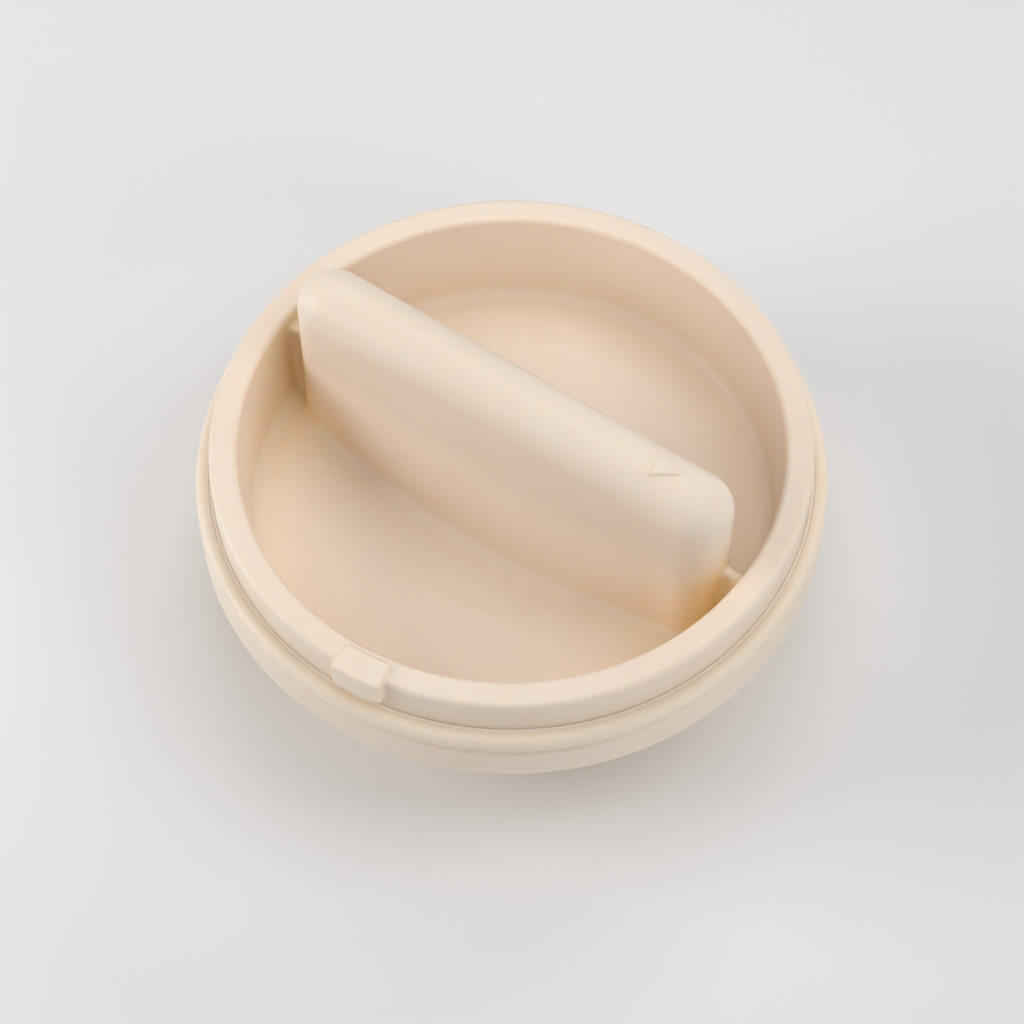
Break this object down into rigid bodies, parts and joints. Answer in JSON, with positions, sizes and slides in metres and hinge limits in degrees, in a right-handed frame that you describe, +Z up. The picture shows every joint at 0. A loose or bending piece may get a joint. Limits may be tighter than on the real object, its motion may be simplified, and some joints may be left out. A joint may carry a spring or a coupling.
{
  "type": "pill crusher",
  "caption": "Low round screw-down pill crusher: a dished knob with a tall grip bar drives a ridged pressure plate onto a ridged plate in a base cup.",
  "frame": {"origin": "centre of the resting plane, under the middle of the crusher", "axes": "+Z up along the turning axis, +X along the grip bar towards its pointer, +Y across the bar"},
  "size_m": [0.0592, 0.0592, 0.0303],
  "materials": {
    "knob_plastic": "satin ivory moulding, slightly translucent",
    "collar_plastic": "satin ivory moulding",
    "base_plastic": "satin ivory moulding",
    "foot_rubber": "matte elastomer",
    "seal_rubber": "soft translucent silicone",
    "gasket_silicone": "ivory silicone",
    "crush_steel": "turned and stamped stainless steel",
    "plate_steel": "turned stainless steel",
    "cap_steel": "pressed stainless cap",
    "screw_steel": "machined steel",
    "washer_plastic": "smooth white acetal"
  },
  "bodies": {
    "base": {"base_cup": "base_plastic", "foot_ring": "foot_rubber", "lower_crush_plate": "crush_steel", "threaded_collar": "collar_plastic", "rim_gasket": "gasket_silicone"},
    "plate": {"pressure_plate": "plate_steel", "wiper_seal": "seal_rubber", "pivot_cap": "cap_steel"},
    "knob": {"knob": "knob_plastic", "thrust_washer": "washer_plastic", "pivot_screw": "screw_steel", "head_washer": "screw_steel"}
  },
  "joints": [
    {"name": "plate_travel", "type": "slide", "parent": "base", "child": "plate", "axis": [0, 0, 1], "range_m": [0, 0.0271]},
    {"name": "knob_turn", "type": "hinge", "parent": "plate", "child": "knob", "pos_m": [0, 0, 0], "axis": [0, 0, 1], "range_deg": [0, 540]}
  ],
  "couplings": [
    {"joint": "plate_travel", "follows": "knob_turn", "m_per_rad": 0.0028648}
  ]
}
